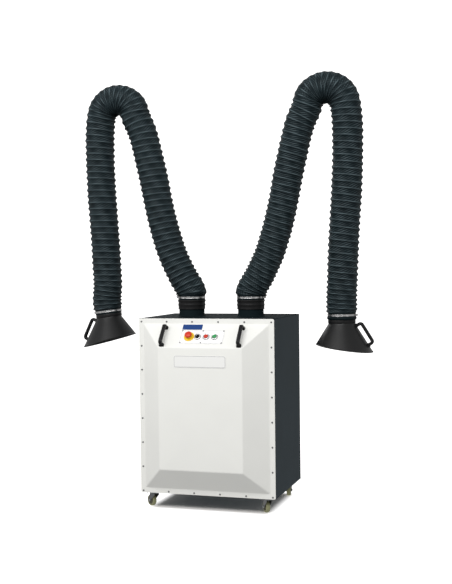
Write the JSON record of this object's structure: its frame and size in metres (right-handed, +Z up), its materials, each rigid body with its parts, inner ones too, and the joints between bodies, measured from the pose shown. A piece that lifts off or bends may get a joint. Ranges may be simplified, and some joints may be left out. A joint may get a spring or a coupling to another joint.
{
  "type": "mobile welding fume extractor",
  "caption": "Wheeled fume extractor cabinet with a raised white front and two hooded, ribbed hose arms that swivel, fold and hold their place.",
  "frame": {"origin": "on the floor, midway between the outer faces of the whole object", "axes": "+Z up, -Y out of the white front panel, +X to the right seen from the front"},
  "size_m": [1.7786, 0.7465, 2.4812],
  "materials": {
    "base_clamp_left": "satin",
    "base_clamp_right": "satin",
    "base_plate": "satin",
    "cabinet_shell": "satin",
    "cable_gland": "matte",
    "castor_fork_front_left": "satin",
    "castor_fork_front_right": "satin",
    "castor_fork_rear_left": "satin",
    "castor_fork_rear_right": "satin",
    "castor_plate_front_left": "satin",
    "castor_plate_front_right": "satin",
    "castor_plate_rear_left": "satin",
    "castor_plate_rear_right": "satin",
    "castor_wheel_front_left": "matte",
    "castor_wheel_front_right": "matte",
    "castor_wheel_rear_left": "matte",
    "castor_wheel_rear_right": "matte",
    "control_plate": "satin",
    "electrics_box": "satin",
    "emergency_stop_button": "satin",
    "emergency_stop_collar": "satin",
    "exhaust_grille": "satin",
    "fan_impeller": "satin",
    "fan_motor": "satin",
    "fan_scroll": "satin",
    "filter_cartridge_left": "matte",
    "filter_cartridge_right": "matte",
    "filter_deck": "satin",
    "front_panel": "satin",
    "grab_handle_left": "matte",
    "grab_handle_right": "matte",
    "hood_bracket_left": "satin",
    "hood_bracket_right": "satin",
    "hood_clamp_left": "satin",
    "hood_clamp_right": "satin",
    "hood_handle_left": "matte",
    "hood_handle_right": "matte",
    "hood_left": "matte",
    "hood_right": "matte",
    "hose_left": "matte",
    "hose_right": "matte",
    "lower_link_left": "satin",
    "lower_link_right": "satin",
    "selector_bezel": "polished",
    "selector_knob": "matte",
    "shoulder_bracket_left": "satin",
    "shoulder_bracket_right": "satin",
    "start_bezel": "polished",
    "start_button": "satin",
    "stop_bezel": "polished",
    "stop_button": "satin",
    "stub_pipe_left": "satin",
    "stub_pipe_right": "satin",
    "swivel_cuff_left": "matte",
    "swivel_cuff_right": "matte",
    "top_plate": "satin",
    "upper_link_left": "satin",
    "upper_link_right": "satin"
  },
  "bodies": {
    "cabinet": {"base_plate": "base_plate", "cabinet_shell": "cabinet_shell", "cable_gland": "cable_gland", "castor_plate_front_left": "castor_plate_front_left", "castor_plate_front_right": "castor_plate_front_right", "castor_plate_rear_left": "castor_plate_rear_left", "castor_plate_rear_right": "castor_plate_rear_right", "control_plate": "control_plate", "electrics_box": "electrics_box", "emergency_stop_collar": "emergency_stop_collar", "exhaust_grille": "exhaust_grille", "fan_motor": "fan_motor", "fan_scroll": "fan_scroll", "filter_cartridge_left": "filter_cartridge_left", "filter_cartridge_right": "filter_cartridge_right", "filter_deck": "filter_deck", "front_panel": "front_panel", "grab_handle_left": "grab_handle_left", "grab_handle_right": "grab_handle_right", "selector_bezel": "selector_bezel", "start_bezel": "start_bezel", "stop_bezel": "stop_bezel", "stub_pipe_left": "stub_pipe_left", "stub_pipe_right": "stub_pipe_right", "top_plate": "top_plate"},
    "castor_swivel_front_left": {"castor_fork_front_left": "castor_fork_front_left"},
    "castor_roller_front_left": {"castor_wheel_front_left": "castor_wheel_front_left"},
    "castor_swivel_front_right": {"castor_fork_front_right": "castor_fork_front_right"},
    "castor_roller_front_right": {"castor_wheel_front_right": "castor_wheel_front_right"},
    "castor_swivel_rear_left": {"castor_fork_rear_left": "castor_fork_rear_left"},
    "castor_roller_rear_left": {"castor_wheel_rear_left": "castor_wheel_rear_left"},
    "castor_swivel_rear_right": {"castor_fork_rear_right": "castor_fork_rear_right"},
    "castor_roller_rear_right": {"castor_wheel_rear_right": "castor_wheel_rear_right"},
    "fan": {"fan_impeller": "fan_impeller"},
    "emergency_stop": {"emergency_stop_button": "emergency_stop_button"},
    "selector": {"selector_knob": "selector_knob"},
    "stop_push": {"stop_button": "stop_button"},
    "start_push": {"start_button": "start_button"},
    "arm_swivel_left": {"swivel_cuff_left": "swivel_cuff_left", "shoulder_bracket_left": "shoulder_bracket_left", "base_clamp_left": "base_clamp_left"},
    "lower_arm_left": {"lower_link_left": "lower_link_left", "hose_left": "hose_left"},
    "upper_arm_left": {"upper_link_left": "upper_link_left"},
    "suction_hood_left": {"hood_left": "hood_left", "hood_handle_left": "hood_handle_left", "hood_bracket_left": "hood_bracket_left", "hood_clamp_left": "hood_clamp_left"},
    "arm_swivel_right": {"swivel_cuff_right": "swivel_cuff_right", "shoulder_bracket_right": "shoulder_bracket_right", "base_clamp_right": "base_clamp_right"},
    "lower_arm_right": {"lower_link_right": "lower_link_right", "hose_right": "hose_right"},
    "upper_arm_right": {"upper_link_right": "upper_link_right"},
    "suction_hood_right": {"hood_right": "hood_right", "hood_handle_right": "hood_handle_right", "hood_bracket_right": "hood_bracket_right", "hood_clamp_right": "hood_clamp_right"}
  },
  "joints": [
    {"name": "castor_swivel_front_left", "type": "hinge", "parent": "cabinet", "child": "castor_swivel_front_left", "pos_m": [-0.34, -0.1925, 0.0785], "axis": [0, 0, 1], "continuous": true},
    {"name": "castor_roll_front_left", "type": "hinge", "parent": "castor_swivel_front_left", "child": "castor_roller_front_left", "pos_m": [-0.35966, -0.17873, 0.0325], "axis": [0.5736, 0.8192, 0], "continuous": true},
    {"name": "castor_swivel_front_right", "type": "hinge", "parent": "cabinet", "child": "castor_swivel_front_right", "pos_m": [0.34, -0.1925, 0.0785], "axis": [0, 0, 1], "continuous": true},
    {"name": "castor_roll_front_right", "type": "hinge", "parent": "castor_swivel_front_right", "child": "castor_roller_front_right", "pos_m": [0.32623, -0.17284, 0.0325], "axis": [0.8192, 0.5736, 0], "continuous": true},
    {"name": "castor_swivel_rear_left", "type": "hinge", "parent": "cabinet", "child": "castor_swivel_rear_left", "pos_m": [-0.34, 0.2975, 0.0785], "axis": [0, 0, 1], "continuous": true},
    {"name": "castor_roll_rear_left", "type": "hinge", "parent": "castor_swivel_rear_left", "child": "castor_roller_rear_left", "pos_m": [-0.36255, 0.28929, 0.0325], "axis": [-0.342, 0.9397, 0], "continuous": true},
    {"name": "castor_swivel_rear_right", "type": "hinge", "parent": "cabinet", "child": "castor_swivel_rear_right", "pos_m": [0.34, 0.2975, 0.0785], "axis": [0, 0, 1], "continuous": true},
    {"name": "castor_roll_rear_right", "type": "hinge", "parent": "castor_swivel_rear_right", "child": "castor_roller_rear_right", "pos_m": [0.34417, 0.27387, 0.0325], "axis": [-0.9848, -0.1736, 0], "continuous": true},
    {"name": "fan_spin", "type": "hinge", "parent": "cabinet", "child": "fan", "pos_m": [0, 0, 0.32], "axis": [0, 0, 1], "continuous": true},
    {"name": "emergency_stop_press", "type": "slide", "parent": "cabinet", "child": "emergency_stop", "axis": [0, 0.7682, -0.6402], "range_m": [0, 0.005]},
    {"name": "selector_turn", "type": "hinge", "parent": "cabinet", "child": "selector", "pos_m": [-0.025, -0.30673, 0.9922], "axis": [0, -0.7682, 0.6402], "range_deg": [-45, 45]},
    {"name": "stop_press", "type": "slide", "parent": "cabinet", "child": "stop_push", "axis": [0, 0.7682, -0.6402], "range_m": [0, 0.003], "stiffness_N_per_m": 500},
    {"name": "start_press", "type": "slide", "parent": "cabinet", "child": "start_push", "axis": [0, 0.7682, -0.6402], "range_m": [0, 0.003], "stiffness_N_per_m": 500},
    {"name": "arm_swivel_left", "type": "hinge", "parent": "cabinet", "child": "arm_swivel_left", "pos_m": [-0.182, 0.0525, 1.16], "axis": [0, 0, 1], "range_deg": [-60, 60]},
    {"name": "arm_shoulder_left", "type": "hinge", "parent": "arm_swivel_left", "child": "lower_arm_left", "pos_m": [-0.182, 0.0525, 1.2473], "axis": [0, -1, 0], "range_deg": [-25, 10], "deforming": ["hose_left"]},
    {"name": "arm_elbow_left", "type": "hinge", "parent": "lower_arm_left", "child": "upper_arm_left", "pos_m": [-0.63852, 0.0525, 2.39269], "axis": [0, 1, 0], "range_deg": [-3, 95], "deforming": ["hose_left"]},
    {"name": "hood_tilt_left", "type": "hinge", "parent": "upper_arm_left", "child": "suction_hood_left", "pos_m": [-0.72631, 0.0525, 1.16155], "axis": [0, -1, 0], "range_deg": [-40, 35], "deforming": ["hose_left"]},
    {"name": "arm_swivel_right", "type": "hinge", "parent": "cabinet", "child": "arm_swivel_right", "pos_m": [0.182, 0.0525, 1.16], "axis": [0, 0, 1], "range_deg": [-60, 60]},
    {"name": "arm_shoulder_right", "type": "hinge", "parent": "arm_swivel_right", "child": "lower_arm_right", "pos_m": [0.182, 0.0525, 1.2473], "axis": [0, 1, 0], "range_deg": [-25, 10], "deforming": ["hose_right"]},
    {"name": "arm_elbow_right", "type": "hinge", "parent": "lower_arm_right", "child": "upper_arm_right", "pos_m": [0.63933, 0.0525, 2.39267], "axis": [0, -1, 0], "range_deg": [-3, 95], "deforming": ["hose_right"]},
    {"name": "hood_tilt_right", "type": "hinge", "parent": "upper_arm_right", "child": "suction_hood_right", "pos_m": [0.719, 0.0525, 1.134], "axis": [0, 1, 0], "range_deg": [-40, 35], "deforming": ["hose_right"]}
  ]
}
